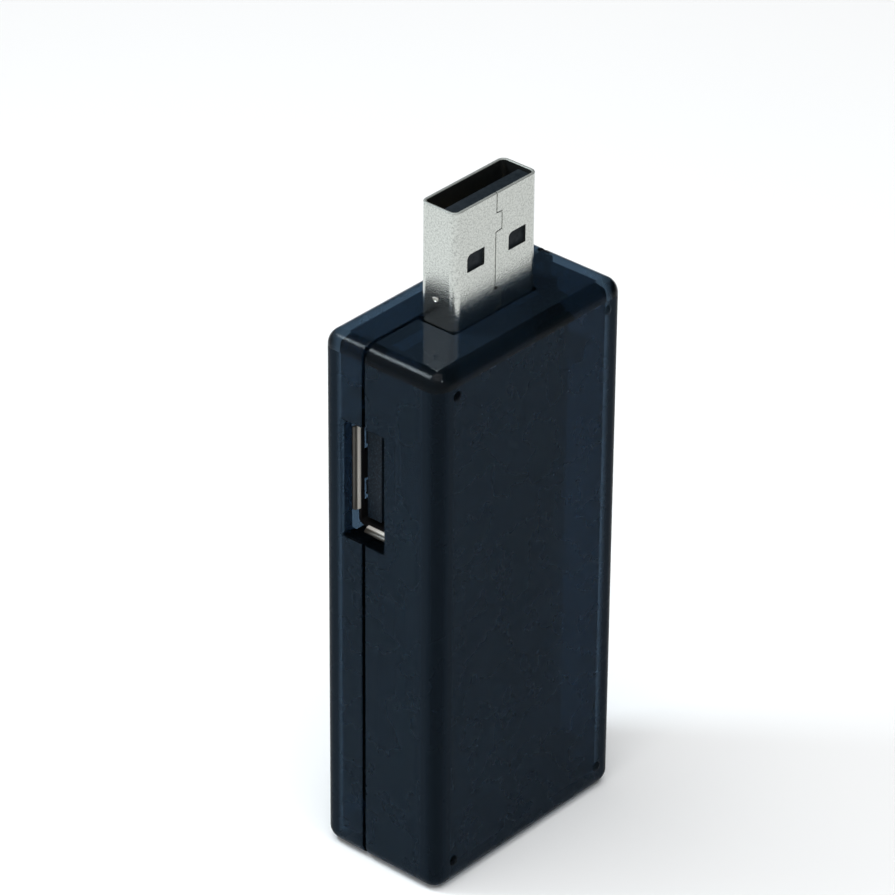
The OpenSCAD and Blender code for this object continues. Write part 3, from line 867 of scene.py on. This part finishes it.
def make_socket_shell():
    rear, front = SOCKET_REAR, MOUTH_X - LIP_DEEP
    path = [(rear, SHEET), (front, SHEET), (front, 0.0), (rear, 0.0)]
    loops = []
    for x, out in path:
        loop = rounded_loop(SOCKET_HALF_T + out, SOCKET_HALF_W + out, 0.35 * MM + out, 6)
        loops.append(on_x(loop, x, SOCKET_Y, SOCKET_Z))
    made = loft("socket_sleeve", loops, closed=True)
    for z_side in (-1, 1):
        z = SOCKET_Z + z_side * 2.9 * MM
        for side in (-1, 1):
            cut(made, spring_slot(z, side))
            join(made, retaining_spring(z, side))
        for back in (3.8 * MM, 9.4 * MM):
            join(made, socket_leg(MOUTH_X - back, z_side))
    for side in (-1, 1):
        join(made, socket_lip(9.5 * MM, SOCKET_HALF_T, side, True))
        join(made, socket_lip(3 * MM, SOCKET_HALF_W, side, False))
    paint(shade(made, 30), nickel_socket_painted_shade)
    return piece(made, "case", "nickel_steel", "socket_shell")


make_socket_shell()


# ---------------------------------------------------------------- display
def seven_segments(bm, x, z, height, y):
    """A digit with all seven bars, as thin slabs; x grows to the reader's right."""
    wide, thick, gap, lean = height * 0.5, height * 0.11, height * 0.02, 0.09
    half_h, half_w, half_t = height / 2, wide / 2, thick / 2
    level = [(0, half_h - half_t), (0, 0), (0, -half_h + half_t)]
    upright = [(s * (half_w - half_t), u * (half_h - half_t) / 2) for s in (-1, 1) for u in (-1, 1)]
    bars = [(c, wide - thick - 2 * gap, False) for c in level]
    bars += [(c, half_h - half_t - 2 * gap, True) for c in upright]
    for (cx, cz), length, tall in bars:
        half = length / 2
        shape = [(-half, 0), (-half + half_t, half_t), (half - half_t, half_t), (half, 0),
                 (half - half_t, -half_t), (-half + half_t, -half_t)]
        if tall:
            shape = [(b, a) for a, b in shape]
        loops = []
        for depth in (y, y + 0.02 * MM):
            loops.append([Vector((x + cx + a + lean * (cz + b), depth, z + cz + b)) for a, b in shape])
        add_loft(bm, loops)


def make_segments():
    """The display's dark bars, unlit, in three rows on the face of the front polariser."""
    bm = bmesh.new()
    y = film_low.y - 0.01 * MM
    rows = [(7.4 * MM, 5.6 * MM, 4), (0.2 * MM, 5.6 * MM, 4), (-6.6 * MM, 4.0 * MM, 6)]
    for row, height, count in rows:
        pitch = height * 0.66
        for i in range(count):
            seven_segments(bm, (i - (count - 1) / 2) * pitch, DISPLAY_Z + row, height, y)
    made = new_object("display_segments", bm)
    paint(shade(made), segment_ink)
    return piece(made, "case", "display_glass")


segment_ink = new_material("segment_ink", (0.17, 0.2, 0.18), 0.35)
vary_colour(segment_ink, (0.2, 0.235, 0.21), (0.24, 0.275, 0.25), 3000)
make_segments()

soften_node("display_window", 0.08 * MM, lens_acrylic)
soften_node("front_polariser", 0.02 * MM, film, 1)
soften_node("front_glass", 0.05 * MM, cell_glass, 1)
soften_node("rear_glass", 0.05 * MM, cell_glass, 1)
soften_node("rear_polariser", 0.02 * MM, film, 1)
soften_node("light_guide", 0.1 * MM, guide_acrylic)
soften_node("backlight_leds", 0.06 * MM, led_body)
soften_node("display_frame", 0.1 * MM, black_plastic)
soften_node("zebra_strips", 0.1 * MM, zebra)

# ---------------------------------------------------------------- board and its parts
soften_node("circuit_board", 0.04 * MM, board_green, 1)
soften_node("plug_insulator", 0.1 * MM, black_plastic)
soften_node("plug_contacts", 0.05 * MM, gold)
soften_node("socket_insulator", 0.12 * MM, dusty_plastic)
soften_node("socket_contacts", 0.05 * MM, gold)
soften_node("switch_body", 0.08 * MM, black_plastic)
soften_node("switch_plate", 0.03 * MM, tin, 1)
soften_node("switch_plunger", 0.08 * MM, button_plastic)
soften_node("switch_dome", 0.01 * MM, dome_metal, 1)
soften_node("switch_leads", 0.03 * MM, tin, 1)
soften_node("microcontroller", 0.04 * MM, chip_resin)
soften_node("current_amplifier", 0.04 * MM, chip_resin)
soften_node("memory_chip", 0.04 * MM, chip_resin)
soften_node("voltage_regulator", 0.04 * MM, chip_resin)
soften_node("shunt_resistor", 0.04 * MM, chip_resin)
soften_node("crystal", 0.1 * MM, tin)
soften_node("tantalum_capacitor", 0.08 * MM, tantalum)
soften_node("ceramic_capacitors", 0.05 * MM, ceramic)
soften_node("chip_resistors", 0.03 * MM, chip_resin, 1)
soften_node("signal_diodes", 0.06 * MM, chip_resin)


# ---------------------------------------------------------------- reset button
def make_button():
    """The button's cap: a rounded rim round a shallow dish, with the flange and stem behind."""
    face, edge, dish = cap_low.y, 0.28 * MM, 0.14 * MM
    inner = FRONT_INSIDE + 0.1 * MM
    flat = BUTTON_R - edge
    flange_r, flange_edge, stem_r, centre = 2.6 * MM, 0.05 * MM, 1.3 * MM, 0.0001 * MM
    flange_back = inner + 0.85 * MM
    profile = [(centre, face + dish)]
    profile += [(flat * t, face + dish * (1 - t * t)) for t in (0.2, 0.4, 0.6, 0.8, 0.95)]
    profile += [(flat + edge * math.sin(a), face + edge * (1 - math.cos(a))) for a in arc(6)]
    profile += [(BUTTON_R, inner), (flange_r - flange_edge, inner), (flange_r, inner + flange_edge)]
    profile += [(flange_r, flange_back - flange_edge), (flange_r - flange_edge, flange_back)]
    profile += [(stem_r, flange_back), (stem_r, cap_high.y), (centre, cap_high.y)]
    turns = [2 * math.pi * i / 48 for i in range(48)]
    loops = []
    for radius, y in profile:
        ring = [(radius * math.cos(a), radius * math.sin(a)) for a in turns]
        loops.append(on_y(ring, y, BUTTON_X, BUTTON_Z))
    made = loft("button_dish", loops)
    paint(shade(made), button_plastic)
    return piece(made, "reset_button", "button_plastic", "button_cap")


make_button()


# ---------------------------------------------------------------- floor, lights and camera
def make_floor():
    bm = bmesh.new()
    bmesh.ops.create_grid(bm, x_segments=8, y_segments=8, size=6.0)
    floor = new_object("floor", bm)
    white = new_material("floor_white", (0.9, 0.9, 0.9), 0.7, Specular_IOR_Level=0.0)
    vary_colour(white, (0.895, 0.895, 0.895), (0.905, 0.905, 0.905), 3)
    paint(floor, white)


def square_light(name, aim, toward, distance, size, power, colour=(1, 1, 1)):
    """A square area light at a distance along a direction from the point that it faces."""
    aim = Vector(aim)
    data = bpy.data.lights.new(name, "AREA")
    data.size = size
    data.energy = power
    data.color = colour
    lamp = bpy.data.objects.new(name, data)
    bpy.context.scene.collection.objects.link(lamp)
    spot = aim + Vector(toward).normalized() * distance
    turn = (aim - spot).to_track_quat("-Z", "Y").to_matrix().to_4x4()
    lamp.matrix_world = Matrix.Translation(spot) @ turn
    return lamp


DARK_SIDE = Vector((-0.68, -0.05, 0.57))


def make_world(level):
    """A pale surround that darkens toward the side that the glossy top mirrors."""
    world = bpy.data.worlds.new("studio")
    bpy.context.scene.world = world
    world.use_nodes = True
    tree = world.node_tree
    back = tree.nodes["Background"]
    place = tree.nodes.new("ShaderNodeTexCoord")
    dot = tree.nodes.new("ShaderNodeVectorMath")
    dot.operation = "DOT_PRODUCT"
    dot.inputs[1].default_value = DARK_SIDE.normalized()
    fade = tree.nodes.new("ShaderNodeMapRange")
    fade.interpolation_type = "SMOOTHSTEP"
    fade.inputs["From Min"].default_value = 0.1
    fade.inputs["From Max"].default_value = 0.75
    fade.inputs["To Min"].default_value = level
    fade.inputs["To Max"].default_value = 0.0
    tree.links.new(place.outputs["Generated"], dot.inputs[0])
    tree.links.new(dot.outputs["Value"], fade.inputs["Value"])
    tree.links.new(fade.outputs["Result"], back.inputs["Strength"])
    back.inputs["Color"].default_value = (1, 1, 1, 1)


GLINT_COLOUR = (0.8, 0.93, 1.0)
CAMERA_AT = Vector((0.33954, 0.29405, 0.31610))
CAMERA_RIGHT = Vector((-0.66175, 0.74969, 0.00649))
CAMERA_DOWN = Vector((0.38568, 0.34784, -0.85455))


def make_camera():
    data = bpy.data.cameras.new("camera")
    data.sensor_width = 36
    data.lens = 215.35
    data.clip_start = 0.01
    camera = bpy.data.objects.new("camera", data)
    bpy.context.scene.collection.objects.link(camera)
    right = CAMERA_RIGHT.normalized()
    up = (-CAMERA_DOWN).normalized()
    back = right.cross(up).normalized()
    up = back.cross(right)
    turn = Matrix((right, up, back)).transposed().to_4x4()
    camera.matrix_world = Matrix.Translation(CAMERA_AT) @ turn
    bpy.context.scene.camera = camera


make_floor()
make_world(0.7)
square_light("overhead", (0, 0, CASE_H / 2), (0.1, 0.1, 1), distance=1.6, size=1.6, power=24)
square_light("edge_glint", Vector((13.05, 5.2, 59.24)) * MM, (0.349, -0.563, 0.75), distance=0.15,
             size=0.042, power=0.17, colour=GLINT_COLOUR)
square_light("corner_glint", Vector((13.0, 7.1, 59.1)) * MM, (0.0, 0.68, 0.72), distance=0.15,
             size=0.02, power=0.04, colour=GLINT_COLOUR)
make_camera()
bpy.context.scene.view_settings.view_transform = "Standard"
